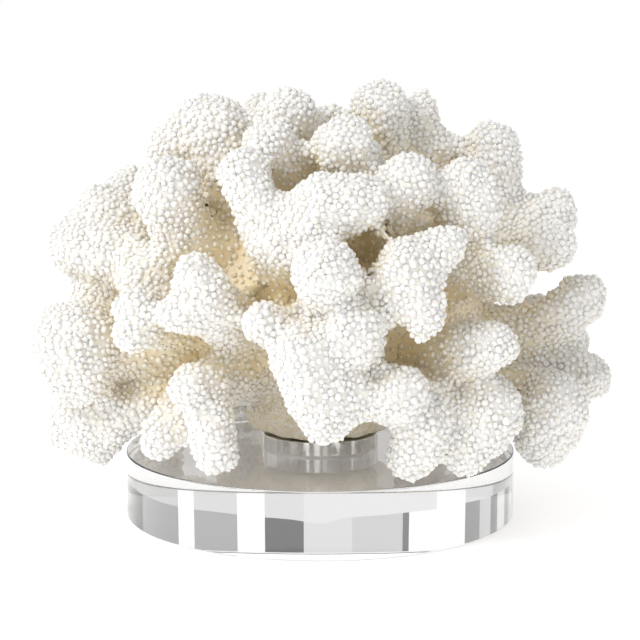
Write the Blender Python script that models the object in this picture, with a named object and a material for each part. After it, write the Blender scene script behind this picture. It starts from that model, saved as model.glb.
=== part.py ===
"""White cauliflower coral on a round clear stand.

Metres, +Z up. The stand's underside lies on z = 0 and its axis is the Z axis.
The front, as a viewer sees it, faces -Y.

The coral is one colony, split at its main forks: a foot and trunk, and the
branches that grow out of the trunk. Every branch is a chain of rounded knobs,
and some branches fork into two or three tips.
"""

import math

import bmesh
import bpy
from mathutils import Vector, noise

MM = 0.001

# Stand: a thick clear disc with a short polished spacer on it
DISC_RADIUS = 75 * MM
DISC_HEIGHT = 25 * MM
DISC_EDGE = 0.4 * MM
DISC_SIDES = 64
SPACER_RADIUS = 22.5 * MM
SPACER_HEIGHT = 5.7 * MM
SPACER_EDGE = 0.5 * MM
SPACER_SIDES = 40

# Space kept between pieces that touch
GAP = 0.3 * MM
# Cutters swell a little more than the gap, because a flat face lies inside its rounded corners
CUTTER_SWELL = 2.1

# Foot and trunk: swellings as (centre x, y, z) and (half width x, y, z), in mm
TRUNK_SWELLINGS = (
    ((0, 0, 38), (30, 29, 10)),
    ((-3, -2, 43), (27, 27, 12)),
    ((0, 0, 54), (25, 25, 14)),
    ((0, -2, 82), (57, 51, 47)),
    ((-24, 4, 78), (42, 40, 34)),
    ((24, 2, 80), (40, 40, 34)),
)
TRUNK_CORE = TRUNK_SWELLINGS[3]
TRUNK_LUMP = 3.0 * MM
TRUNK_TRIANGLES = 480

# Branches: each holds one or more chains of knobs as (x, y, z, radius), in mm,
# read from the fork outwards. A chain starts at the trunk by itself, and a
# later chain of the same branch forks off from its own first knob.
BRANCHES = {
    # Front face, lower row
    "front_low_fork": (
        ((-6, -64, 70, 9), (-7, -84, 75, 10), (2, -83, 55, 10.5)),
        ((2, -79, 57, 8), (11, -84, 63, 5.5)),
    ),
    "front_middle": (
        ((12, -62, 74, 9), (11, -82, 82, 10.5)),
    ),
    "front_knob": (
        ((3, -62, 93, 8.5), (2, -84, 103, 11)),
    ),
    "front_low_right": (
        ((29, -58, 53, 8), (28, -80, 61, 9)),
        ((27, -64, 54, 7), (19, -80, 58, 6)),
    ),
    "front_right_drop": (
        ((40, -64, 55, 7), (37, -73, 47, 8.5), (32, -70, 36, 8)),
    ),
    "front_left_stub": (
        ((-12, -64, 80, 6.5), (-20, -79, 86, 6.5)),
    ),
    "left_low_fork": (
        ((-39, -54, 59, 8.5), (-38, -68, 47, 7.5), (-37, -67, 36, 7.5)),
        ((-40, -56, 60, 8.5), (-46, -70, 62, 7.5)),
    ),
    "left_low_knob": (
        ((-52, -48, 49, 7), (-57, -60, 40, 7)),
    ),
    "left_ridge": (
        ((-29, -50, 80, 9.5), (-39, -66, 90, 10.5), (-43, -72, 102, 6.5)),
        ((-38, -66, 89, 9.5), (-52, -70, 86, 5.5)),
    ),
    "left_stub": (
        ((-58, -46, 80, 8.5), (-65, -60, 88, 7.5)),
        ((-60, -50, 80, 8), (-66, -59, 78, 7)),
    ),
    "right_low_fork": (
        ((59, -42, 54, 9), (61, -62, 50, 10.5), (51, -65, 37, 8)),
    ),
    "right_middle_stub": (
        ((42, -45, 70, 8), (52, -60, 73, 9.5), (61, -65, 75, 8.5)),
    ),
    # Front face, upper row
    "front_right_fork": (
        ((25, -54, 89, 8.5), (29, -74, 105, 9.5), (36, -78, 86, 7.5)),
        ((29, -70, 101, 8), (44, -71, 111, 6.5)),
        ((28, -66, 100, 8), (19, -72, 96, 6)),
    ),
    "middle_fork": (
        ((-13, -50, 101, 10.5), (-20, -62, 121, 8.5), (-27, -58, 135, 8.5)),
        ((-14, -60, 110, 11), (2, -68, 125, 10.5), (14, -68, 125, 9.5)),
    ),
    "upper_right_knob": (
        ((21, -46, 113, 7), (26, -54, 125, 8.5), (31, -57, 132, 10)),
    ),
    "upper_right_wedge": (
        ((49, -38, 109, 8), (54, -50, 122, 10.5), (51, -50, 132, 8)),
    ),
    "right_stub": (
        ((56, -42, 97, 8), (67, -57, 99, 9.5)),
    ),
    "upper_left": (
        ((-49, -38, 111, 9.5), (-55, -42, 128, 12)),
    ),
    "upper_middle": (
        ((15, -28, 127, 9.5), (9, -44, 143, 11)),
    ),
    "upper_middle_left": (
        ((-12, -32, 127, 8.5), (-19, -43, 144, 9)),
        ((-12, -35, 131, 7.5), (-10, -38, 140, 6)),
    ),
    # Left and right sides
    "far_left_lower": (
        ((-64, -28, 46, 7.5), (-81, -22, 39, 9.5), (-94, -18, 36, 10)),
        ((-79, -18, 35, 7), (-85, -15, 26, 5.5)),
    ),
    "far_left_middle": (
        ((-76, -26, 69, 11), (-91, -34, 72, 14.5), (-89, -34, 62, 13)),
        ((-80, -20, 61, 8.5), (-88, -12, 51, 7.5)),
    ),
    "far_left_upper": (
        ((-70, -11, 107, 11), (-81, -8, 116, 11.5), (-88, -8, 112, 9)),
        ((-72, -18, 103, 10), (-84, -20, 104, 12), (-92, -16, 104, 10)),
        ((-70, -22, 100, 11), (-60, -35, 94, 11)),
    ),
    "far_right_lower": (
        ((79, -24, 50, 9), (87, -36, 49, 11.5), (84, -26, 34, 11)),
    ),
    "far_right_middle": (
        ((88, -8, 56, 8.5), (102, -11, 54, 9)),
    ),
    "far_right_finger": (
        ((79, -8, 70, 8.5), (90, -10, 77, 9), (100, -10, 84, 9)),
        ((88, -6, 71, 7), (101, 2, 65, 4.5)),
    ),
    "far_right_upper": (
        ((73, -8, 103, 8.5), (85, -18, 105, 9.5)),
        ((75, -8, 105, 8.5), (89, -2, 115, 10)),
    ),
    "tall_finger": (
        ((66, -4, 107, 9), (66, -3, 125, 9), (65, -2, 141, 10)),
    ),
    # Crown
    "top": (
        ((-8, -12, 135, 9), (-12, -20, 153, 10.5)),
        ((-12, -10, 147, 8), (-22, 2, 154, 7)),
        ((-8, -8, 144, 8), (1, -2, 149, 7), (6, 2, 152, 5)),
    ),
    "top_left": (
        ((-34, -20, 130, 9.5), (-39, -16, 149, 12), (-46, -14, 148, 11)),
        ((-44, -14, 146, 10), (-56, -12, 141, 9)),
    ),
    "top_knob": (
        ((25, -2, 138, 7.5), (22, -10, 155, 10.5)),
    ),
    "top_right_finger": (
        ((34, 4, 134, 6.5), (38, 3, 146, 6.5), (38, 1, 155, 7)),
        ((36, 3, 134, 7), (46, 0, 140, 6.5)),
    ),
    # Back face, lower row
    "back_low_far_left": (
        ((-62, 28, 52, 8.5), (-77, 42, 43, 10)),
        ((-66, 34, 49, 8), (-66, 52, 37, 8)),
    ),
    "back_low_left": (
        ((-32, 48, 54, 9), (-36, 68, 46, 10), (-33, 73, 36, 8)),
    ),
    "back_low_middle": (
        ((3, 52, 57, 9.5), (4, 76, 53, 11)),
        ((4, 66, 53, 8.5), (14, 76, 39, 8)),
    ),
    "back_low_right": (
        ((38, 46, 52, 9), (45, 64, 41, 10)),
    ),
    "back_low_far_right": (
        ((66, 24, 50, 9), (82, 36, 42, 11)),
        ((68, 27, 49, 8), (68, 46, 45, 7.5)),
    ),
    # Back face, middle row
    "back_far_left": (
        ((-74, 14, 80, 10), (-87, 23, 89, 12)),
        ((-76, 16, 78, 9), (-91, 16, 71, 10)),
    ),
    "back_left": (
        ((-56, 38, 78, 9.5), (-70, 53, 85, 11.5)),
        ((-58, 42, 78, 9), (-60, 60, 70, 8.5)),
    ),
    "back_middle_left": (
        ((-30, 54, 85, 10), (-35, 73, 92, 10.5), (-40, 76, 105, 8.5)),
    ),
    "back_middle": (
        ((-2, 56, 84, 10), (-5, 80, 84, 12)),
        ((0, 66, 86, 9), (8, 77, 97, 8)),
    ),
    "back_middle_right": (
        ((28, 54, 80, 9.5), (33, 74, 86, 11)),
        ((30, 62, 82, 8), (41, 70, 74, 7.5)),
    ),
    "back_right": (
        ((56, 36, 78, 9.5), (67, 52, 86, 10.5), (64, 56, 97, 8)),
    ),
    "back_far_right": (
        ((74, 16, 68, 9), (87, 25, 69, 11)),
        ((76, 19, 67, 8), (80, 36, 60, 8.5)),
    ),
    # Back face, upper row and crown
    "back_upper_far_left": (
        ((-62, 18, 110, 9.5), (-75, 26, 120, 11.5)),
    ),
    "back_upper_left": (
        ((-38, 36, 113, 9.5), (-49, 49, 121, 11)),
        ((-38, 38, 115, 8.5), (-33, 54, 126, 8)),
    ),
    "back_upper_middle": (
        ((-6, 42, 115, 10), (-10, 58, 125, 11.5)),
    ),
    "back_upper_right": (
        ((23, 40, 112, 9.5), (24, 57, 119, 10.5)),
        ((25, 44, 113, 8), (37, 54, 114, 8)),
    ),
    "back_upper_far_right": (
        ((51, 24, 108, 9.5), (64, 33, 117, 11)),
    ),
    "back_top_left": (
        ((-25, 14, 127, 9.5), (-34, 27, 137, 11)),
    ),
    "back_top": (
        ((3, 18, 127, 9.5), (4, 31, 138, 10.5)),
    ),
    "back_top_right": (
        ((34, 18, 122, 8.5), (43, 28, 130, 9.5)),
    ),
}
KNOB_SPACING = 3.5 * MM
LUMP_HEIGHT = 1.6 * MM
LUMP_SPACING = 11 * MM
SKIN_VOXEL = 1.6 * MM
SKIN_SMOOTHING = 5
# How far the skin lies outside the knobs
SKIN_THICKNESS = 1.1 * MM
# A branch is this much wider at the trunk than at its first knob
ROOT_WIDENING = 1.2
# Faces to spend on a branch: one triangle for this much of its skin
AREA_PER_TRIANGLE = 30 * MM * MM
FEWEST_TRIANGLES = 70
# Share of the faces kept when the joints cut into a branch are tidied
FACES_KEPT_AFTER_CUT = 0.72


def clear_scene():
    for old in list(bpy.data.objects):
        bpy.data.objects.remove(old)


def make_material(name, colour, roughness, metallic=0.0, transmission=0.0, ior=1.5):
    material = bpy.data.materials.new(name)
    material.use_nodes = True
    shader = material.node_tree.nodes["Principled BSDF"]
    shader.inputs["Base Color"].default_value = (*colour, 1.0)
    shader.inputs["Roughness"].default_value = roughness
    shader.inputs["Metallic"].default_value = metallic
    shader.inputs["Transmission Weight"].default_value = transmission
    shader.inputs["IOR"].default_value = ior
    return material


def add_object(name, bm, material=None):
    """Turn a bmesh into a named object in the scene."""
    mesh = bpy.data.meshes.new(name)
    bm.to_mesh(mesh)
    bm.free()
    obj = bpy.data.objects.new(name, mesh)
    bpy.context.scene.collection.objects.link(obj)
    if material:
        mesh.materials.append(material)
    return obj


def apply_modifiers(obj):
    """Replace the object's mesh by what its modifiers make of it."""
    graph = bpy.context.evaluated_depsgraph_get()
    result = bpy.data.meshes.new_from_object(obj.evaluated_get(graph))
    old = obj.data
    obj.modifiers.clear()
    obj.data = result
    bpy.data.meshes.remove(old)


def turned_puck(name, radius, bottom, height, edge, sides, material):
    """A round plate on the Z axis with a small bevel round both rims."""
    bm = bmesh.new()
    bmesh.ops.create_cone(
        bm, cap_ends=True, segments=sides, radius1=radius, radius2=radius, depth=height
    )
    bmesh.ops.translate(bm, vec=(0, 0, bottom + height / 2), verts=bm.verts)
    rims = [e for e in bm.edges if abs(e.verts[0].co.z - e.verts[1].co.z) < height / 2]
    bmesh.ops.bevel(bm, geom=rims, offset=edge, segments=1, affect="EDGES")
    puck = add_object(name, bm, material)
    puck.data.shade_smooth()
    puck.data.set_sharp_from_angle(angle=math.radians(30))
    return puck


def add_ellipsoid(bm, centre, half_widths):
    made = bmesh.ops.create_icosphere(bm, subdivisions=3, radius=1.0)["verts"]
    bmesh.ops.scale(bm, vec=half_widths, verts=made)
    bmesh.ops.translate(bm, vec=centre, verts=made)


def add_chain(bm, knobs):
    """Balls set close together from knob to knob, with the width blended between them."""
    for (start, start_radius), (end, end_radius) in zip(knobs, knobs[1:]):
        steps = max(2, math.ceil((end - start).length / KNOB_SPACING))
        for step in range(steps + 1):
            part = step / steps
            radius = start_radius + (end_radius - start_radius) * part
            add_ellipsoid(bm, start.lerp(end, part), (radius, radius, radius))


def trunk_end(first):
    """The point under the trunk's skin from which a branch grows to its first knob."""
    centre = Vector(TRUNK_CORE[0]) * MM
    half_widths = Vector(TRUNK_CORE[1]) * MM
    aim = Vector((0, 0, min(max(35 * MM + first.z / 2, 58 * MM), 84 * MM)))
    point = first.copy()
    while sum(((point[i] - centre[i]) / half_widths[i]) ** 2 for i in range(3)) > 0.8:
        point += (aim - point).normalized() * MM
    return point


def skin_over(obj, lump_height, triangles=None):
    """Fuse overlapping balls into one lumpy skin and thin it to few faces."""
    remesh = obj.modifiers.new("skin", "REMESH")
    remesh.mode = "VOXEL"
    remesh.voxel_size = SKIN_VOXEL
    smooth = obj.modifiers.new("smooth", "SMOOTH")
    smooth.iterations = SKIN_SMOOTHING
    apply_modifiers(obj)
    for vertex in obj.data.vertices:
        lump = noise.noise(vertex.co / LUMP_SPACING)
        vertex.co += vertex.normal * (SKIN_THICKNESS + lump * lump_height)
    if triangles is None:
        area = sum(polygon.area for polygon in obj.data.polygons)
        triangles = max(FEWEST_TRIANGLES, area / AREA_PER_TRIANGLE)
    obj.data.calc_loop_triangles()
    thin = obj.modifiers.new("thin", "DECIMATE")
    thin.ratio = triangles / len(obj.data.loop_triangles)
    thin.use_collapse_triangulate = True
    apply_modifiers(obj)


def make_trunk(material):
    bm = bmesh.new()
    for centre, half_widths in TRUNK_SWELLINGS:
        add_ellipsoid(bm, Vector(centre) * MM, Vector(half_widths) * MM)
    trunk = add_object("coral_foot", bm, material)
    skin_over(trunk, TRUNK_LUMP, TRUNK_TRIANGLES)
    # Cut flat where it stands on the spacer
    seat = DISC_HEIGHT + GAP + SPACER_HEIGHT + GAP
    bm = bmesh.new()
    bm.from_mesh(trunk.data)
    cut = bmesh.ops.bisect_plane(
        bm,
        geom=bm.verts[:] + bm.edges[:] + bm.faces[:],
        plane_co=(0, 0, seat),
        plane_no=(0, 0, 1),
        clear_inner=True,
    )
    bmesh.ops.contextual_create(
        bm, geom=[e for e in cut["geom_cut"] if isinstance(e, bmesh.types.BMEdge)]
    )
    bmesh.ops.triangulate(bm, faces=bm.faces)
    bmesh.ops.recalc_face_normals(bm, faces=bm.faces)
    bm.to_mesh(trunk.data)
    bm.free()
    return trunk


def make_branch(name, chains, material):
    bm = bmesh.new()
    for number, chain in enumerate(chains):
        knobs = [(Vector(knob[:3]) * MM, knob[3] * MM) for knob in chain]
        if number == 0:
            first, radius = knobs[0]
            knobs.insert(0, (trunk_end(first), radius * ROOT_WIDENING))
        add_chain(bm, knobs)
    branch = add_object(name, bm, material)
    skin_over(branch, LUMP_HEIGHT)
    return branch


def cutter_from(obj):
    """A hidden copy of a piece, swollen by the gap that its neighbours keep."""
    bm = bmesh.new()
    bm.from_mesh(obj.data)
    bm.normal_update()
    for vertex in bm.verts:
        vertex.co += vertex.normal * GAP * CUTTER_SWELL
    cutter = add_object(obj.name + "_cutter", bm)
    cutter.hide_render = True
    cutter.display_type = "WIRE"
    return cutter


def box_of(obj):
    points = [vertex.co for vertex in obj.data.vertices]
    low = [min(point[i] for point in points) for i in range(3)]
    high = [max(point[i] for point in points) for i in range(3)]
    return low, high


def boxes_meet(first, second):
    return all(
        first[0][i] < second[1][i] and second[0][i] < first[1][i] for i in range(3)
    )


def keep_largest_body(obj):
    """Delete the crumbs that a cut leaves beside the branch."""
    bm = bmesh.new()
    bm.from_mesh(obj.data)
    unseen = set(bm.verts)
    bodies = []
    while unseen:
        body = {unseen.pop()}
        front = list(body)
        while front:
            vertex = front.pop()
            for edge in vertex.link_edges:
                other = edge.other_vert(vertex)
                if other not in body:
                    body.add(other)
                    front.append(other)
        unseen -= body
        bodies.append(body)
    bodies.sort(key=len)
    for body in bodies[:-1]:
        bmesh.ops.delete(bm, geom=list(body), context="VERTS")
    bmesh.ops.triangulate(bm, faces=bm.faces)
    bm.to_mesh(obj.data)
    bm.free()


def cut_by_neighbours(obj, cutters):
    """Take the space of earlier pieces out of this one, so that they only meet."""
    box = box_of(obj)
    for cutter in cutters:
        if not boxes_meet(box, box_of(cutter)):
            continue
        cut = obj.modifiers.new(cutter.name, "BOOLEAN")
        cut.operation = "DIFFERENCE"
        cut.solver = "EXACT"
        cut.object = cutter
        apply_modifiers(obj)
    keep_largest_body(obj)
    thin = obj.modifiers.new("thin", "DECIMATE")
    thin.ratio = FACES_KEPT_AFTER_CUT
    thin.use_collapse_triangulate = True
    apply_modifiers(obj)


def main():
    clear_scene()
    acrylic = make_material("clear_acrylic", (1.0, 1.0, 1.0), 0.02, transmission=1.0, ior=1.49)
    metal = make_material("polished_metal", (0.82, 0.82, 0.8), 0.08, metallic=1.0)
    sandy = make_material("sandy_skeleton", (0.72, 0.62, 0.46), 0.9)
    white = make_material("white_skeleton", (0.93, 0.9, 0.83), 0.85)

    turned_puck("acrylic_disc", DISC_RADIUS, 0, DISC_HEIGHT, DISC_EDGE, DISC_SIDES, acrylic)
    turned_puck(
        "metal_spacer",
        SPACER_RADIUS,
        DISC_HEIGHT + GAP,
        SPACER_HEIGHT,
        SPACER_EDGE,
        SPACER_SIDES,
        metal,
    )

    cutters = [cutter_from(make_trunk(sandy))]
    for name, chains in BRANCHES.items():
        branch = make_branch(name, chains, white)
        whole = cutter_from(branch)
        cut_by_neighbours(branch, cutters)
        cutters.append(whole)
    for cutter in cutters:
        bpy.data.objects.remove(cutter)


main()
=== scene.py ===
import math

import bmesh
import bpy
import numpy as np
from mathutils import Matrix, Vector, noise
from mathutils.bvhtree import BVHTree


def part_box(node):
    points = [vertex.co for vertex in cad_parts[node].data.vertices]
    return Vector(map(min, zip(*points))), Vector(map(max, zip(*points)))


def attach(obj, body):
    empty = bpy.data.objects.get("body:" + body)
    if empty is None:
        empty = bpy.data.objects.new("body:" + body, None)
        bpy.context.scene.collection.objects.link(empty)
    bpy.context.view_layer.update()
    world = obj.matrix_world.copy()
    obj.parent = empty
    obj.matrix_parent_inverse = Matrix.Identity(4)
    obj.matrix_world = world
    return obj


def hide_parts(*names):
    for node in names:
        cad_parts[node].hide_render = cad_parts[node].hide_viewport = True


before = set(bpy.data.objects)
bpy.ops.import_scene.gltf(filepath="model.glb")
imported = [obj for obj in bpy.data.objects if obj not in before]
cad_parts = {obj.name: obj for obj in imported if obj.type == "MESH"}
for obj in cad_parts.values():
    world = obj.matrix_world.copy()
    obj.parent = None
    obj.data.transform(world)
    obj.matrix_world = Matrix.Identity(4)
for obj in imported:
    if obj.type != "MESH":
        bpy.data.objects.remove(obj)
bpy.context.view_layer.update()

bpy.ops.object.select_all(action="DESELECT")
MM = 0.001


# The photograph's view: a long lens just above the coral, tipped slightly down.
# Its place, tilt and focal length were fitted to the disc's outline in the picture.
PHOTO_SIDE = 640
FOCAL_LENGTH_PIXELS = 1838
CAMERA_PLACE = (0, -700 * MM, 179.6 * MM)
CAMERA_TILT = math.radians(8.55)

bpy.ops.object.camera_add(location=CAMERA_PLACE, rotation=(math.radians(90) - CAMERA_TILT, 0, 0))
camera = bpy.context.object
camera.data.sensor_width = 36
camera.data.lens = FOCAL_LENGTH_PIXELS * camera.data.sensor_width / PHOTO_SIDE
camera.data.clip_start = 0.01
bpy.context.scene.camera = camera


# The clear disc is one slab of acrylic, turned round and polished on every face.
# Its two rims are broken by a hair-thin rounded edge that catches the light.
DISC_SIDES = 256
DISC_RIM = 0.5 * MM
RIM_STEPS = 3
ACRYLIC_IOR = 1.49
HAZE_SCALE = 60
HAZE = 0.01
WAVINESS_SCALE = 22
WAVINESS_DEPTH = 0.1 * MM
WAVINESS_STRENGTH = 0.2


def new_material(name):
    """A node material, its tree and its shader."""
    material = bpy.data.materials.new(name)
    material.use_nodes = True
    tree = material.node_tree
    return material, tree, tree.nodes["Principled BSDF"]


def add_node(tree, kind, settings=(), inputs=()):
    """A node with its settings and its unlinked inputs."""
    node = tree.nodes.new(kind)
    for name, value in dict(settings).items():
        setattr(node, name, value)
    for name, value in dict(inputs).items():
        node.inputs[name].default_value = value
    return node


def object_place(tree):
    """Where a point lies on the object, in metres."""
    return add_node(tree, "ShaderNodeTexCoord").outputs["Object"]


def add_bump(tree, shader, height, distance, strength=1.0):
    bump = add_node(tree, "ShaderNodeBump", inputs={"Distance": distance, "Strength": strength})
    tree.links.new(height, bump.inputs["Height"])
    tree.links.new(bump.outputs["Normal"], shader.inputs["Normal"])


def apply_modifier(obj, kind, **settings):
    bpy.context.view_layer.objects.active = obj
    modifier = obj.modifiers.new(kind.lower(), kind)
    for name, value in settings.items():
        setattr(modifier, name, value)
    bpy.ops.object.modifier_apply(modifier=modifier.name)


def turned_plate(name, node, sides, rim):
    """A round plate that fills a node's box, with both rims rounded."""
    low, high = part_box(node)
    bpy.ops.mesh.primitive_cylinder_add(
        vertices=sides,
        radius=high.x,
        depth=high.z - low.z,
        location=(0, 0, (low.z + high.z) / 2),
    )
    plate = bpy.context.object
    plate.name = name
    bpy.ops.object.transform_apply(location=True, rotation=False, scale=False)
    bpy.ops.object.mode_set(mode="EDIT")
    bpy.ops.mesh.select_all(action="DESELECT")
    bpy.ops.mesh.select_mode(type="EDGE")
    bpy.ops.object.mode_set(mode="OBJECT")
    for edge in plate.data.edges:
        start, end = (plate.data.vertices[i].co for i in edge.vertices)
        edge.select = abs(start.z - end.z) < rim
    bpy.ops.object.mode_set(mode="EDIT")
    bpy.ops.mesh.bevel(offset=rim, segments=RIM_STEPS, profile=0.5)
    bpy.ops.object.mode_set(mode="OBJECT")
    bpy.ops.object.shade_smooth()
    apply_modifier(plate, "WEIGHTED_NORMAL", weight=100)
    plate.select_set(False)
    return plate


acrylic, tree, shader = new_material("clear_acrylic")
shader.inputs["Base Color"].default_value = (1, 1, 1, 1)
shader.inputs["Transmission Weight"].default_value = 1
shader.inputs["IOR"].default_value = ACRYLIC_IOR
place = object_place(tree)
polish = add_node(tree, "ShaderNodeTexNoise", inputs={"Scale": HAZE_SCALE, "Detail": 3})
tree.links.new(place, polish.inputs["Vector"])
haze = add_node(
    tree,
    "ShaderNodeMapRange",
    inputs={"From Min": 0.45, "From Max": 0.75, "To Min": 0.0, "To Max": HAZE},
)
tree.links.new(polish.outputs["Fac"], haze.inputs["Value"])
tree.links.new(haze.outputs["Result"], shader.inputs["Roughness"])
waviness = add_node(tree, "ShaderNodeTexNoise", inputs={"Scale": WAVINESS_SCALE, "Detail": 1})
tree.links.new(place, waviness.inputs["Vector"])
add_bump(tree, shader, waviness.outputs["Fac"], WAVINESS_DEPTH, WAVINESS_STRENGTH)

disc = turned_plate("clear_disc", "acrylic_disc", DISC_SIDES, DISC_RIM)
disc.data.materials.append(acrylic)
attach(disc, "root")
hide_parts("acrylic_disc")


# The spacer is a turned metal puck, polished to a mirror.
# It is fixed to the middle of the disc and lifts the coral clear of it.
SPACER_SIDES = 160
SPACER_RIM = 0.45 * MM
SMEAR_SCALE = 140
SMOOTHEST, ROUGHEST = 0.02, 0.07
LATHE_SCALE = 1400
LATHE_DEPTH = 0.01 * MM
LATHE_STRENGTH = 0.3

metal, tree, shader = new_material("polished_metal")
shader.inputs["Base Color"].default_value = (0.80, 0.79, 0.77, 1)
shader.inputs["Metallic"].default_value = 1
place = object_place(tree)
smears = add_node(tree, "ShaderNodeTexNoise", inputs={"Scale": SMEAR_SCALE, "Detail": 4})
tree.links.new(place, smears.inputs["Vector"])
polish = add_node(tree, "ShaderNodeMapRange", inputs={"To Min": SMOOTHEST, "To Max": ROUGHEST})
tree.links.new(smears.outputs["Fac"], polish.inputs["Value"])
tree.links.new(polish.outputs["Result"], shader.inputs["Roughness"])
lathe = add_node(
    tree,
    "ShaderNodeTexWave",
    settings={"wave_type": "BANDS", "bands_direction": "Z"},
    inputs={"Scale": LATHE_SCALE, "Distortion": 0.6},
)
tree.links.new(place, lathe.inputs["Vector"])
add_bump(tree, shader, lathe.outputs["Fac"], LATHE_DEPTH, LATHE_STRENGTH)

spacer = turned_plate("polished_spacer", "metal_spacer", SPACER_SIDES, SPACER_RIM)
spacer.data.materials.append(metal)
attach(spacer, "root")
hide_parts("metal_spacer")


# The coral grew as one skeleton, so all of its branches are fused into one skin first.
# The skin runs from fork to fork without a seam, a little inside the granules' tips.
CORAL_NODES = [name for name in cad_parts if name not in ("acrylic_disc", "metal_spacer")]
FUSE_REACH = 2.2 * MM
SHRINK_STEPS = 5
THIN_SHARE = 0.36
SKIN_VOXEL = 1.35 * MM
SKIN_DEPTH = 0.3 * MM
LUMP_SPACING = 8 * MM
LUMP_HEIGHT = 1.5 * MM
FINE_LUMPS = 0.5
FINE_LUMP_SCALE = 2.1
SEAT_GAP = 0.1 * MM
SEAT_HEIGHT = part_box("metal_spacer")[1].z + SEAT_GAP
FOOT_RADIUS = 34 * MM
WELD_DISTANCE = 0.00001
SKIN_SMOOTHING = 6
STEP_SMOOTHING = 2
SPREAD_ROUNDS = 3
RAY_GAP_MM = 0.05


def plain_object(name, bm):
    mesh = bpy.data.meshes.new(name)
    bm.to_mesh(mesh)
    bm.free()
    made = bpy.data.objects.new(name, mesh)
    bpy.context.scene.collection.objects.link(made)
    return made


def vertex_array(mesh, name="co"):
    values = np.empty(len(mesh.vertices) * 3, np.float32)
    mesh.vertices.foreach_get(name, values)
    return values.reshape(-1, 3)


def place_points(mesh, points):
    mesh.vertices.foreach_set("co", points.astype(np.float32).ravel())
    mesh.update()


def push_out(mesh, distance):
    """Move every point along its normal, by one distance or by one for each point."""
    points, normals = vertex_array(mesh), vertex_array(mesh, "normal")
    place_points(mesh, points + normals * np.reshape(distance, (-1, 1)))


def rounded_copy(node):
    """A node's solid with its flat faces rounded off and swollen to meet its neighbours."""
    bm = bmesh.new()
    bm.from_mesh(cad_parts[node].data)
    bmesh.ops.remove_doubles(bm, verts=bm.verts, dist=WELD_DISTANCE)
    copy = plain_object(node + "_rounded", bm)
    apply_modifier(copy, "SUBSURF", levels=2, render_levels=2)
    push_out(copy.data, FUSE_REACH)
    return copy


def edge_array(mesh):
    values = np.empty(len(mesh.edges) * 2, np.int32)
    mesh.edges.foreach_get("vertices", values)
    return values.reshape(-1, 2)


def spread(values, edges, rounds):
    """Blend each point's value with its neighbours'."""
    count = len(values)
    ends = np.concatenate([edges[:, 0], edges[:, 1]])
    others = np.concatenate([edges[:, 1], edges[:, 0]])
    number = np.bincount(ends, minlength=count)
    for _ in range(rounds):
        total = np.bincount(ends, weights=values[others], minlength=count)
        values = (values + total) / (1 + number)
    return values


def triangle_array(mesh):
    mesh.calc_loop_triangles()
    values = np.empty(len(mesh.loop_triangles) * 3, np.int32)
    mesh.loop_triangles.foreach_get("vertices", values)
    return values.reshape(-1, 3)


def thickness_of(mesh):
    """How thick the body is behind each point, so that no thin web is shrunk inside out."""
    points, normals = vertex_array(mesh), vertex_array(mesh, "normal")
    body = BVHTree.FromPolygons(points.tolist(), triangle_array(mesh).tolist())
    depths = np.empty(len(points))
    for index, (point, normal) in enumerate(zip(points.tolist(), normals.tolist())):
        inward = -Vector(normal)
        depth = body.ray_cast(Vector(point) + inward * RAY_GAP_MM * MM, inward)[3]
        depths[index] = 1 if depth is None else depth
    return depths


together = bmesh.new()
for node in CORAL_NODES:
    copy = rounded_copy(node)
    together.from_mesh(copy.data)
    bpy.data.objects.remove(copy)
colony = plain_object("colony", together)
apply_modifier(colony, "REMESH", mode="VOXEL", voxel_size=SKIN_VOXEL)
apply_modifier(colony, "SMOOTH", iterations=SKIN_SMOOTHING)
spots = [Vector(point) / LUMP_SPACING for point in vertex_array(colony.data).tolist()]
lumps = np.array(
    [noise.noise(spot) + FINE_LUMPS * noise.noise(spot * FINE_LUMP_SCALE) for spot in spots]
)
shrink = np.minimum(
    FUSE_REACH + SKIN_DEPTH - lumps * LUMP_HEIGHT,
    THIN_SHARE * thickness_of(colony.data),
)
shrink = spread(shrink, edge_array(colony.data), SPREAD_ROUNDS)
for _ in range(SHRINK_STEPS):
    push_out(colony.data, -shrink / SHRINK_STEPS)
    apply_modifier(colony, "SMOOTH", iterations=STEP_SMOOTHING)
points = vertex_array(colony.data)
near_foot = np.linalg.norm(points[:, :2], axis=1) < FOOT_RADIUS
points[near_foot, 2] = np.maximum(points[near_foot, 2], SEAT_HEIGHT)
place_points(colony.data, points)


# How open a spot is to the sky past the rest of the colony, and how far out from its middle it
# lies, decides its colour and its granules.
# The colour is painted shade: tips in the open are white, and the deep gaps between the branches
# are painted cream to tan where shade falls.
SHELTER_REACH = 45 * MM
SHELTER_RAYS = 20
COLONY_MIDDLE = Vector((0, 0, 74 * MM))
COLONY_HALF = Vector((108 * MM, 94 * MM, 90 * MM))
SHELTER_GAP_MM = 1.2
GRAZING = 0.05
OPEN_SHARE = 0.75
REACH_SHARE = 0.9
REACH_START = 0.62

skin_points = vertex_array(colony.data)
skin_normals = vertex_array(colony.data, "normal")
skin_triangles = triangle_array(colony.data)
skin_tree = BVHTree.FromPolygons(skin_points.tolist(), skin_triangles.tolist())


def ray_directions(count):
    """Directions spread evenly over a ball."""
    steps = np.arange(count) + 0.5
    height = 1 - 2 * steps / count
    turn = steps * math.pi * (3 - math.sqrt(5))
    flat = np.sqrt(1 - height**2)
    return np.stack([flat * np.cos(turn), flat * np.sin(turn), height], axis=1)


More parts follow.
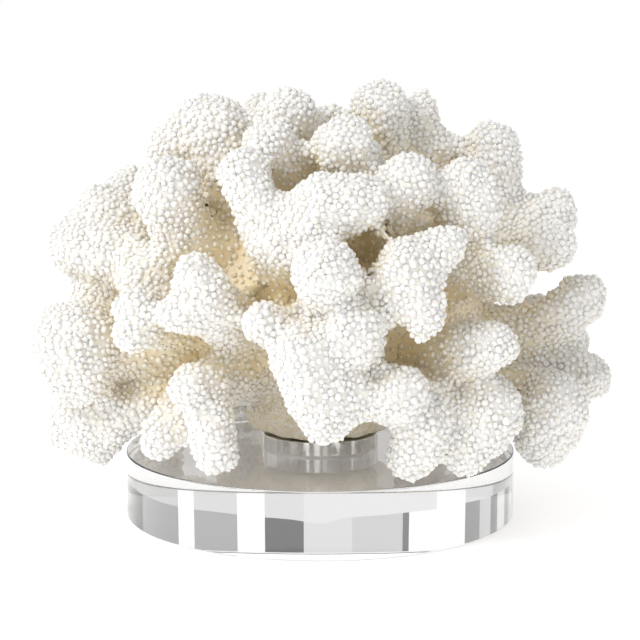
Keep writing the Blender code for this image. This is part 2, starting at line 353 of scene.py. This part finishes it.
def openness_of(points, normals):
    """The share of the sky that each point sees past the rest of the coral."""
    rays = [Vector(ray) for ray in ray_directions(SHELTER_RAYS * 2)]
    result = np.empty(len(points), np.float32)
    for index, (point, normal) in enumerate(zip(points.tolist(), normals.tolist())):
        normal = Vector(normal)
        start = Vector(point) + normal * SHELTER_GAP_MM * MM
        seen = 0.0
        total = 0.0
        for ray in rays:
            facing = ray.dot(normal)
            if facing <= GRAZING:
                continue
            total += facing
            if skin_tree.ray_cast(start, ray, SHELTER_REACH)[0] is None:
                seen += facing
        result[index] = seen / total
    return result


openness = spread(openness_of(skin_points, skin_normals), edge_array(colony.data), SPREAD_ROUNDS)
reach = np.linalg.norm((skin_points - np.array(COLONY_MIDDLE)) / np.array(COLONY_HALF), axis=1)
growth_and_painted_shade = np.clip(OPEN_SHARE * openness + REACH_SHARE * (reach - REACH_START), 0, 1)


# The branches are parted again where they fork, each along its own solid.
# Every part is closed by a cap that lies hidden inside the colony.
MAJORITY_ROUNDS = 4
FEWEST_FACES = 60
ISLAND_ROUNDS = 3
CAP_DEPTH = 11 * MM
RIM_DEPTH = 2.5 * MM
CAP_SHARE = 0.5
RIM_SHARE = 0.35
# The skin between the granules is painted darker than its spot's value, as painted shade in the
# crevices.
SKIN_PAINTED_SHADE = 0.8


def nearest_nodes(points):
    """For each point the number of the branch whose solid is nearest."""
    corners = []
    faces = []
    owners = []
    for number, node in enumerate(CORAL_NODES):
        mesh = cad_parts[node].data
        first = len(corners)
        corners.extend(vertex.co.copy() for vertex in mesh.vertices)
        for polygon in mesh.polygons:
            faces.append([first + index for index in polygon.vertices])
            owners.append(number)
    solids = BVHTree.FromPolygons(corners, faces)
    return np.array([owners[solids.find_nearest(point)[2]] for point in points.tolist()])


def face_pairs(triangles):
    """Pairs of faces that share an edge."""
    ends = np.concatenate([triangles[:, [0, 1]], triangles[:, [1, 2]], triangles[:, [2, 0]]])
    ends.sort(axis=1)
    face = np.tile(np.arange(len(triangles)), 3)
    order = np.lexsort((ends[:, 1], ends[:, 0]))
    ends, face = ends[order], face[order]
    same = (ends[1:] == ends[:-1]).all(axis=1)
    return np.stack([face[:-1][same], face[1:][same]], axis=1)


def by_majority(labels, pairs, rounds):
    """Smooth the border between branches: a face joins the branch that most of its sides meet."""
    count = len(labels)
    for _ in range(rounds):
        votes = np.zeros((count, 3), np.int32)
        votes[:] = labels[:, None]
        filled = np.zeros(count, np.int32)
        for a, b in ((0, 1), (1, 0)):
            order = np.argsort(pairs[:, a], kind="stable")
            for face, other in zip(pairs[order, a].tolist(), labels[pairs[order, b]].tolist()):
                if filled[face] < 3:
                    votes[face, filled[face]] = other
                    filled[face] += 1
        agree = (votes[:, 0] == votes[:, 1]) | (votes[:, 0] == votes[:, 2])
        others_agree = votes[:, 1] == votes[:, 2]
        labels = np.where(agree, votes[:, 0], np.where(others_agree, votes[:, 1], labels))
    return labels


def islands_of(labels, pairs):
    """A number for each connected patch of faces with one label."""
    parent = list(range(len(labels)))

    def root(face):
        while parent[face] != face:
            parent[face] = parent[parent[face]]
            face = parent[face]
        return face

    for first, second in pairs[labels[pairs[:, 0]] == labels[pairs[:, 1]]].tolist():
        a, b = root(first), root(second)
        if a != b:
            parent[a] = b
    return np.array([root(face) for face in range(len(labels))])


def without_islands(labels, pairs):
    """Give small stray patches to the branch round them."""
    for _ in range(ISLAND_ROUNDS):
        islands = islands_of(labels, pairs)
        sizes = np.bincount(islands, minlength=len(labels))
        largest = {}
        for island in np.unique(islands).tolist():
            label = labels[island]
            if sizes[island] > sizes[largest.get(label, island)] or label not in largest:
                largest[label] = island
        main_island = np.array([largest[label] for label in labels])
        stray = (sizes[islands] < FEWEST_FACES) & (islands != main_island)
        if not stray.any():
            break
        border = pairs[labels[pairs[:, 0]] != labels[pairs[:, 1]]]
        border = np.concatenate([border, border[:, ::-1]])
        takes = {}
        for face, other in border.tolist():
            if stray[face] and not stray[other]:
                takes[islands[face]] = labels[other]
        labels = np.array(
            [
                takes.get(island, label) if is_stray else label
                for island, label, is_stray in zip(islands, labels, stray)
            ]
        )
    return labels


pairs = face_pairs(skin_triangles)
face_middles = skin_points[skin_triangles].mean(axis=1)
labels = by_majority(nearest_nodes(face_middles), pairs, MAJORITY_ROUNDS)
labels = without_islands(labels, pairs)


# The granules are the coral's own small knobs, about 2 to 2.5 mm wide and half as high.
# They crowd the tips and thin out down the sides, and each leans out from the colony's middle.
GRANULE_SEED = 7
CROWDED_SPACING = 1.8 * MM
SPARSE_SPACING = 3.0 * MM
DARTS = 260000
GRANULE_RADIUS = 1.2 * MM
GRANULE_HEIGHT = 1.4 * MM
GRANULE_SIDES = 5
CLUSTER_SIZE = 4.5 * MM
CLUSTER_GROWTH = 0.6
# Rings of one granule from its buried rim up, as (share of radius, share of height)
GRANULE_RINGS = ((1.0, -0.30), (0.86, 0.62))
SAND_TOP = 50 * MM
LEAN = 0.35
LEAN_SCATTER = 0.10
CROWD_START = 0.12
CROWD_RANGE = 0.36
SPARSE_WIDTH = 0.74
SPARSE_HEIGHT = 0.80
WIDTHS = (0.72, 1.25)
HEIGHTS = (0.65, 1.20)
CLUSTER_WIDENING = 0.4
POINT_SCATTER = 0.09
# The granules' colour values are painted light and shade: sides keep the spot's painted shade,
# tips get a painted highlight.
SIDE_PAINTED_SHADE = 0.85
TIP_PAINTED_LIGHT = 0.36
TIP_PAINTED_LIGHT_LOSS = 0.11

random = np.random.default_rng(GRANULE_SEED)


def throw_darts(count):
    """Random spots on the skin: place, normal, value for crowding and painted shade, and face of
    each.
    """
    a, b, c = (skin_points[skin_triangles[:, i]] for i in range(3))
    area = np.linalg.norm(np.cross(b - a, c - a), axis=1)
    face = random.choice(len(area), size=count, p=area / area.sum())
    u = np.sqrt(random.random(count))
    v = random.random(count)
    weights = np.stack([1 - u, u * (1 - v), u * v], axis=1)[:, :, None]
    corners = skin_triangles[face]
    place = (skin_points[corners] * weights).sum(axis=1)
    normal = (skin_normals[corners] * weights).sum(axis=1)
    normal /= np.linalg.norm(normal, axis=1)[:, None]
    return place, normal, (growth_and_painted_shade[corners] * weights[:, :, 0]).sum(axis=1), face


def keep_apart(places, spacings):
    """Keep a spot only if no kept one lies within its spacing."""
    cell = spacings.max()
    taken = {}
    kept = []
    keys = np.floor(places / cell).astype(int).tolist()
    around = [(x, y, z) for x in (-1, 0, 1) for y in (-1, 0, 1) for z in (-1, 0, 1)]
    for index, (point, spacing) in enumerate(zip(places.tolist(), spacings.tolist())):
        x, y, z = keys[index]
        px, py, pz = point
        limit = spacing * spacing
        free = True
        for dx, dy, dz in around:
            for qx, qy, qz in taken.get((x + dx, y + dy, z + dz), ()):
                if (px - qx) ** 2 + (py - qy) ** 2 + (pz - qz) ** 2 < limit:
                    free = False
                    break
            if not free:
                break
        if free:
            taken.setdefault((x, y, z), []).append((px, py, pz))
            kept.append(index)
    return np.array(kept)


def granule_shape():
    """One granule as points in units of its radius and height, and its triangles."""
    points = []
    for number, (wide, high) in enumerate(GRANULE_RINGS):
        for side in range(GRANULE_SIDES):
            turn = 2 * math.pi * (side + number / 2) / GRANULE_SIDES
            points.append((wide * math.cos(turn), wide * math.sin(turn), high))
    points.append((0, 0, 1))
    triangles = []
    top = len(points) - 1
    for side in range(GRANULE_SIDES):
        after = (side + 1) % GRANULE_SIDES
        for ring in range(len(GRANULE_RINGS) - 1):
            low, high = ring * GRANULE_SIDES, (ring + 1) * GRANULE_SIDES
            triangles.append((low + side, low + after, high + side))
            triangles.append((low + after, high + after, high + side))
        last = (len(GRANULE_RINGS) - 1) * GRANULE_SIDES
        triangles.append((last + side, last + after, top))
    for side in range(1, GRANULE_SIDES - 1):
        triangles.append((0, side + 1, side))
    return np.array(points), np.array(triangles)


place, normal, white, dart_face = throw_darts(DARTS)
crowd = np.clip((white - CROWD_START) / CROWD_RANGE, 0, 1)
spacing = SPARSE_SPACING + (CROWDED_SPACING - SPARSE_SPACING) * crowd
kept = keep_apart(place, spacing)
sandy = (place[kept, 2] < SAND_TOP) & (np.linalg.norm(place[kept, :2], axis=1) < FOOT_RADIUS)
kept = kept[~sandy]
place, normal, white, crowd = place[kept], normal[kept], white[kept], crowd[kept]
granule_owner = labels[dart_face[kept]]

outward = place - np.array(COLONY_MIDDLE)
outward /= np.linalg.norm(outward, axis=1)[:, None]
upright = normal + LEAN * outward + random.normal(0, LEAN_SCATTER, place.shape)
upright /= np.linalg.norm(upright, axis=1)[:, None]
across = np.cross(upright, random.normal(size=place.shape))
across /= np.linalg.norm(across, axis=1)[:, None]
along = np.cross(upright, across)
width = GRANULE_RADIUS * (SPARSE_WIDTH + (1 - SPARSE_WIDTH) * crowd)
width *= random.uniform(*WIDTHS, len(place))
height = GRANULE_HEIGHT * (SPARSE_HEIGHT + (1 - SPARSE_HEIGHT) * crowd)
height *= random.uniform(*HEIGHTS, len(place))

cluster = np.array([noise.noise(Vector(point) / CLUSTER_SIZE) for point in place.tolist()])
height *= 1 + CLUSTER_GROWTH * cluster
width *= 1 + CLUSTER_WIDENING * CLUSTER_GROWTH * cluster

shape, shape_triangles = granule_shape()
bump = 1 + random.normal(0, POINT_SCATTER, (len(place), len(shape), 1))
flat = shape[None, :, 0:1] * across[:, None, :] + shape[None, :, 1:2] * along[:, None, :]
raised = shape[None, :, 2:3] * upright[:, None, :]
granule_points = place[:, None, :] + bump * (
    width[:, None, None] * flat + height[:, None, None] * raised
)
# Each granule is painted lighter towards its tip, a painted highlight over the painted shade of
# its spot.
tip_white = np.clip(shape[:, 2], 0, 1)
side_white = SIDE_PAINTED_SHADE * white[:, None]
tip_gain = TIP_PAINTED_LIGHT - TIP_PAINTED_LIGHT_LOSS * white[:, None]
granule_painted_light = np.clip(side_white + tip_gain * tip_white[None, :], 0, 1)


# Coral skeleton is chalky limestone: matt and full of pin-prick pores.
# Its colour is painted shade, white where the skin is open and cream to tan in the shelter of the
# branches, with a random stain blotched over it.
CORAL_SHADES = (
    (0.00, (0.93, 0.79, 0.52)),
    (0.18, (0.93, 0.81, 0.58)),
    (0.38, (0.93, 0.85, 0.69)),
    (0.60, (0.935, 0.885, 0.80)),
    (0.84, (0.94, 0.92, 0.88)),
)
PORE_SCALE = 1 / (0.55 * MM)
PORE_DEPTH = 0.22 * MM
STAIN_SCALE = 90
STAIN_SPREAD = 0.16


def colour_ramp(tree, factor, shades):
    ramp = tree.nodes.new("ShaderNodeValToRGB")
    stops = ramp.color_ramp.elements
    while len(stops) < len(shades):
        stops.new(1)
    for stop, (position, colour) in zip(stops, shades):
        stop.position = position
        stop.color = (*colour, 1)
    tree.links.new(factor, ramp.inputs["Fac"])
    return ramp.outputs["Color"]


def grain(tree, place, scale, detail=3):
    texture = add_node(tree, "ShaderNodeTexNoise", inputs={"Scale": scale, "Detail": detail})
    tree.links.new(place, texture.inputs["Vector"])
    return texture.outputs["Fac"]


def pores(tree, place, scale):
    texture = add_node(tree, "ShaderNodeTexVoronoi", inputs={"Scale": scale})
    tree.links.new(place, texture.inputs["Vector"])
    return texture.outputs["Distance"]


def multiply(tree, colour, factor, low, high):
    """Darken a colour by a texture that runs from low to high."""
    scaled = add_node(tree, "ShaderNodeMapRange", inputs={"To Min": low, "To Max": high})
    tree.links.new(factor, scaled.inputs["Value"])
    mix = add_node(tree, "ShaderNodeMix", settings={"data_type": "RGBA", "blend_type": "MULTIPLY"})
    mix.inputs["Factor"].default_value = 1
    tree.links.new(colour, mix.inputs["A"])
    tree.links.new(scaled.outputs["Result"], mix.inputs["B"])
    return mix.outputs["Result"]


coral, tree, shader = new_material("white_skeleton")
place_on = object_place(tree)
# The attribute read here carries the painted shade; a random stain blotch is laid over it.
painted_shade_attribute = add_node(tree, "ShaderNodeAttribute", settings={"attribute_name": "growth_and_painted_shade"})
stain = grain(tree, place_on, STAIN_SCALE, 2)
blotched = add_node(tree, "ShaderNodeMath", settings={"operation": "MULTIPLY_ADD"})
blotched.inputs[1].default_value = STAIN_SPREAD
tree.links.new(stain, blotched.inputs[0])
tree.links.new(painted_shade_attribute.outputs["Fac"], blotched.inputs[2])
shifted = add_node(tree, "ShaderNodeMath", settings={"operation": "SUBTRACT"})
shifted.inputs[1].default_value = STAIN_SPREAD / 2
tree.links.new(blotched.outputs[0], shifted.inputs[0])
colour = colour_ramp(tree, shifted.outputs[0], CORAL_SHADES)
colour = multiply(tree, colour, grain(tree, place_on, PORE_SCALE), 0.93, 1.03)
tree.links.new(colour, shader.inputs["Base Color"])
shader.inputs["Roughness"].default_value = 0.82
shader.inputs["Specular IOR Level"].default_value = 0.25
shader.inputs["Subsurface Weight"].default_value = 0.5
shader.inputs["Subsurface Scale"].default_value = 1.0 * MM
shader.inputs["Subsurface Radius"].default_value = (1.0, 0.9, 0.7)
add_bump(tree, shader, pores(tree, place_on, PORE_SCALE), PORE_DEPTH, 0.55)

# The foot is the bare base of the skeleton, tan and as finely grained as sandstone.
# Above the sandy foot its skin takes the same painted shade as the skin between the branches,
# cream to tan where shade falls.
SAND_SHADES = ((0.2, (0.80, 0.65, 0.43)), (0.45, (0.97, 0.86, 0.65)), (0.7, (1.0, 0.97, 0.88)))
SAND_GRAIN = 1 / (0.75 * MM)
SAND_GRAIN_DEPTH = 0.4 * MM
SAND_SPECKLE_SCALE = 500

sandy_coral, tree, shader = new_material("sandy_skeleton")
place_on = object_place(tree)
painted_shade_attribute = add_node(tree, "ShaderNodeAttribute", settings={"attribute_name": "growth_and_painted_shade"})
# The skin above the sand takes the coral's painted shade.
skin_colour = colour_ramp(tree, painted_shade_attribute.outputs["Fac"], CORAL_SHADES)
grains = pores(tree, place_on, SAND_GRAIN)
sand_colour = colour_ramp(tree, grain(tree, place_on, SAND_SPECKLE_SCALE, 4), SAND_SHADES)
sand_colour = multiply(tree, sand_colour, grains, 1.08, 0.80)
height_on = add_node(tree, "ShaderNodeSeparateXYZ")
tree.links.new(place_on, height_on.inputs[0])
above_sand = add_node(
    tree,
    "ShaderNodeMapRange",
    inputs={"From Min": SAND_TOP - 3 * MM, "From Max": SAND_TOP + 5 * MM},
)
tree.links.new(height_on.outputs["Z"], above_sand.inputs["Value"])
mix = add_node(tree, "ShaderNodeMix", settings={"data_type": "RGBA"})
tree.links.new(above_sand.outputs["Result"], mix.inputs["Factor"])
tree.links.new(sand_colour, mix.inputs["A"])
tree.links.new(skin_colour, mix.inputs["B"])
tree.links.new(mix.outputs["Result"], shader.inputs["Base Color"])
shader.inputs["Roughness"].default_value = 0.9
shader.inputs["Specular IOR Level"].default_value = 0.2
add_bump(tree, shader, grains, SAND_GRAIN_DEPTH, 0.8)


# Each branch, and the foot, becomes one piece: its part of the skin with its own granules.
# The piece takes the place of the plain solid of the same name.
def mesh_from(name, points, triangles, values):
    mesh = bpy.data.meshes.new(name)
    mesh.vertices.add(len(points))
    mesh.vertices.foreach_set("co", points.astype(np.float32).ravel())
    mesh.loops.add(len(triangles) * 3)
    mesh.loops.foreach_set("vertex_index", triangles.astype(np.int32).ravel())
    mesh.polygons.add(len(triangles))
    mesh.polygons.foreach_set("loop_start", np.arange(len(triangles), dtype=np.int32) * 3)
    mesh.polygons.foreach_set("loop_total", np.full(len(triangles), 3, np.int32))
    mesh.update(calc_edges=True)
    mesh.polygons.foreach_set("use_smooth", np.ones(len(triangles), bool))
    shade = mesh.attributes.new("growth_and_painted_shade", "FLOAT", "POINT")
    shade.data.foreach_set("value", values.astype(np.float32))
    return mesh


def loops_of(rim):
    """The rim edges' own loop numbers, one for each edge."""
    parent = {}

    def root(point):
        while parent.setdefault(point, point) != point:
            point = parent[point]
        return point

    for start, end in rim.tolist():
        parent[root(start)] = root(end)
    return np.unique([root(start) for start in rim[:, 0].tolist()], return_inverse=True)[1]


def closed_patch(number):
    """A branch's part of the skin, closed by caps inside the colony: points, triangles, and
    painted-shade values.
    """
    used, faces = np.unique(skin_triangles[labels == number], return_inverse=True)
    faces = faces.reshape(-1, 3)
    points, inward = skin_points[used].astype(float), -skin_normals[used].astype(float)
    room = skin_thickness[used][:, None]
    under_rim = points + inward * np.minimum(RIM_DEPTH, RIM_SHARE * room)
    deep = points + inward * np.minimum(CAP_DEPTH, CAP_SHARE * room)
    ends = np.concatenate([faces[:, [0, 1]], faces[:, [1, 2]], faces[:, [2, 0]]])
    shared = set(map(tuple, ends.tolist()))
    rim = np.array([edge for edge in ends.tolist() if (edge[1], edge[0]) not in shared])
    if len(rim) == 0:
        return points, faces, SKIN_PAINTED_SHADE * growth_and_painted_shade[used]
    loop = loops_of(rim)
    inner = np.full(len(points), -1)
    turned = np.unique(rim)
    inner[turned] = len(points) + np.arange(len(turned))
    middles = []
    for one in range(loop.max() + 1):
        middles.append(deep[rim[loop == one, 0]].mean(axis=0))
    middle = len(points) + len(turned) + loop
    start, end = rim[:, 0], rim[:, 1]
    cap = np.concatenate([
        np.stack([end, start, inner[start]], axis=1),
        np.stack([end, inner[start], inner[end]], axis=1),
        np.stack([inner[end], inner[start], middle], axis=1),
    ])
    points = np.concatenate([points, under_rim[turned], middles])
    values = np.zeros(len(points))
    values[: len(used)] = SKIN_PAINTED_SHADE * growth_and_painted_shade[used]
    return points, np.concatenate([faces, cap]), values


skin_thickness = thickness_of(colony.data)
for number, node in enumerate(CORAL_NODES):
    points, triangles, values = closed_patch(number)
    own = granule_owner == number
    count = int(own.sum())
    offsets = len(points) + np.arange(count)[:, None, None] * len(shape)
    triangles = np.concatenate([triangles, (shape_triangles[None] + offsets).reshape(-1, 3)])
    points = np.concatenate([points, granule_points[own].reshape(-1, 3)])
    values = np.concatenate([values, granule_painted_light[own].ravel()])
    name = "sandy_foot" if node == "coral_foot" else node + "_branch"
    piece = bpy.data.objects.new(name, mesh_from(name, points, triangles, values))
    bpy.context.scene.collection.objects.link(piece)
    piece.data.materials.append(sandy_coral if node == "coral_foot" else coral)
    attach(piece, "root")
    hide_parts(node)
bpy.data.objects.remove(colony)


# Three specks of dark dirt are lodged in the crease right of the upper left branch.
# Each clings to the granules just where the photograph shows it.
# Place in the picture in pixels, and size
SPECKS = ((206.5, 206, 0.75 * MM), (205.2, 210.5, 0.45 * MM), (211.5, 216.5, 0.5 * MM))
SPECK_LIFT = 0.85
SPECK_NOISE_SCALE = 1800
SPECK_RAGGEDNESS = 0.45
SPECK_SEED = 7
DUST_SCALE = 2500
DUST_DEPTH = 0.1 * MM
DIRT_SHADES = ((0.3, (0.02, 0.015, 0.01)), (0.7, (0.12, 0.09, 0.06)))

dirt, tree, shader = new_material("dark_dirt")
dust = grain(tree, object_place(tree), DUST_SCALE)
tree.links.new(colour_ramp(tree, dust, DIRT_SHADES), shader.inputs["Base Color"])
shader.inputs["Roughness"].default_value = 0.85
add_bump(tree, shader, dust, DUST_DEPTH)

bpy.context.view_layer.update()
lens_place = camera.matrix_world.translation
# Blender seeds its vector noise from the clock otherwise, and each run gives other specks.
noise.seed_set(SPECK_SEED)
for count, (across, down, size) in enumerate(SPECKS, 1):
    seen = Vector((across - PHOTO_SIDE / 2, PHOTO_SIDE / 2 - down, -FOCAL_LENGTH_PIXELS))
    seen = (camera.matrix_world.to_3x3() @ seen).normalized()
    spot = skin_tree.ray_cast(lens_place, seen)[0] - seen * GRANULE_HEIGHT * SPECK_LIFT
    bpy.ops.mesh.primitive_ico_sphere_add(subdivisions=2, radius=size, location=spot)
    speck = bpy.context.object
    bpy.ops.object.transform_apply(location=True, rotation=False, scale=False)
    for vertex in speck.data.vertices:
        vertex.co += noise.noise_vector(vertex.co * SPECK_NOISE_SCALE) * size * SPECK_RAGGEDNESS
    speck.name = f"dirt_speck_{count}"
    speck.data.materials.append(dirt)
    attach(speck, "root")
    speck.select_set(False)


# A plain white studio: a pale floor, white walls, and one broad lamp at the upper left.
# Grey and white cards hang behind, above the picture; the clear disc shows them in its edge.
FLOOR_SIZE = 12
FLOOR_GAP = 0.2 * MM
# A grey mat just under the disc is painted shade seen through the clear disc, and it glows faintly
# warm as painted light.
MAT_RADIUS = 73 * MM
MAT_SIDES = 96
FLOOR_GLOW = 0.48
MAT_PAINTED_GLOW = 0.15
WALL_TOP = 3
CARD_MIDDLE = 14.84
CARD_TOP = 18
CARD_DROP = 0.016
ROOM_LIGHT = 0.58
ROOM_DARKER_RIGHT = -0.12
# Where each card starts, in degrees to the right of the middle, and how bright it is.
# The cards near the middle stand where the disc's edge shows its bars.
UPPER_CARDS = (
    (-180, 2.4), (-170, 0.05), (-160, 2.6), (-148, 0.05), (-135, 0.8), (-120, 0.02),
    (-100, 1.8), (-90, 0.62), (-62, 0.50), (-50, 0.72), (-34.6, 1.0), (-25, 0.80),
    (2.8, 0.72), (8.9, 1.0), (15.4, 0.70), (26.1, 1.0), (31.1, 0.62), (58, 0.50),
    (90, 0.62), (100, 1.8), (115, 0.02), (140, 2.6), (155, 0.05), (165, 1.2), (173, 0.05),
)
LOWER_CARDS = (
    (-180, 0.60), (-70, 0.20), (-62, 0.75), (-54, 0.22), (-48, 0.60), (-42, 0.30),
    (-34.6, 1.0), (-17.6, 0.20), (-15.9, 0.62), (-6, 0.72), (2.8, 0.15), (8.9, 1.0),
    (15.4, 0.42), (26.1, 1.0), (31.1, 0.38), (53, 0.12), (90, 0.60),
)

bpy.ops.mesh.primitive_plane_add(size=FLOOR_SIZE, location=(0, 0, -FLOOR_GAP))
floor = bpy.context.object
floor.name = "floor"
pale, tree, shader = new_material("pale_floor")
shader.inputs["Base Color"].default_value = (0.95, 0.95, 0.95, 1)
shader.inputs["Roughness"].default_value = 0.9
shader.inputs["Emission Color"].default_value = (1, 1, 1, 1)
shader.inputs["Emission Strength"].default_value = FLOOR_GLOW
floor.data.materials.append(pale)

# The grey mat under the disc: a painted-shade sheet with a faint painted glow, not a lamp.
bpy.ops.mesh.primitive_circle_add(
    vertices=MAT_SIDES,
    radius=MAT_RADIUS,
    fill_type="NGON",
    location=(0, 0, -FLOOR_GAP / 2),
)
mat = bpy.context.object
mat.name = "painted_shade_mat"
grey, tree, shader = new_material("painted_shade_mat")
shader.inputs["Base Color"].default_value = (0.80, 0.76, 0.72, 1)
shader.inputs["Roughness"].default_value = 0.9
shader.inputs["Emission Color"].default_value = (1, 0.95, 0.90, 1)
shader.inputs["Emission Strength"].default_value = MAT_PAINTED_GLOW
mat.data.materials.append(grey)

world = bpy.data.worlds.new("studio")
bpy.context.scene.world = world
world.use_nodes = True
tree = world.node_tree


def calculate(operation, first, second=None):
    """A sum on node outputs or plain numbers."""
    node = add_node(tree, "ShaderNodeMath", settings={"operation": operation})
    for socket, value in zip(node.inputs, (first, second)):
        if isinstance(value, (int, float)):
            socket.default_value = value
        elif value is not None:
            tree.links.new(value, socket)
    return node.outputs[0]


def hung_cards(cards, azimuth):
    """Upright cards side by side: each is as bright as its stop in a stepped ramp."""
    turn = add_node(tree, "ShaderNodeMapRange", inputs={"From Min": -180.0, "From Max": 180.0})
    tree.links.new(azimuth, turn.inputs["Value"])
    shades = [((start + 180) / 360, (bright, bright, bright)) for start, bright in cards]
    ramp = colour_ramp(tree, turn.outputs["Result"], shades)
    ramp.node.color_ramp.interpolation = "CONSTANT"
    return ramp


def where_above(limit, height, above, below):
    """One colour above a height in the studio and another below it."""
    mix = add_node(tree, "ShaderNodeMix", settings={"data_type": "RGBA"})
    tree.links.new(calculate("GREATER_THAN", height, limit), mix.inputs["Factor"])
    for name, value in (("A", below), ("B", above)):
        if isinstance(value, tuple):
            mix.inputs[name].default_value = value
        else:
            tree.links.new(value, mix.inputs[name])
    return mix.outputs["Result"]


towards = add_node(tree, "ShaderNodeSeparateXYZ")
tree.links.new(add_node(tree, "ShaderNodeTexCoord").outputs["Generated"], towards.inputs[0])
elevation = calculate("DEGREES", calculate("ARCSINE", towards.outputs["Z"]))
azimuth = calculate("DEGREES", calculate("ARCTAN2", towards.outputs["X"], towards.outputs["Y"]))
drop = calculate("MULTIPLY", calculate("ABSOLUTE", azimuth), CARD_DROP)
card_height = calculate("ADD", elevation, drop)
room = calculate("ADD", ROOM_LIGHT, calculate("MULTIPLY", towards.outputs["X"], ROOM_DARKER_RIGHT))
higher, lower = hung_cards(LOWER_CARDS, azimuth), hung_cards(UPPER_CARDS, azimuth)
cards = where_above(CARD_MIDDLE, card_height, higher, lower)
cards = where_above(CARD_TOP, card_height, room, cards)
cards = where_above(WALL_TOP, elevation, cards, (1, 1, 1, 1))
tree.links.new(cards, tree.nodes["Background"].inputs["Color"])


def soft_box(name, place, target, size, power):
    bpy.ops.object.light_add(type="AREA", location=place)
    lamp = bpy.context.object
    lamp.name = name
    lamp.data.shape = "RECTANGLE"
    lamp.data.size, lamp.data.size_y = size
    lamp.data.energy = power
    lamp.rotation_euler = (Vector(target) - Vector(place)).to_track_quat("-Z", "Y").to_euler()


soft_box("key", (-0.8, -0.7, 1.0), (0, 0, 0.08), (0.6, 0.6), 9.5)

bpy.context.scene.view_settings.view_transform = "Standard"
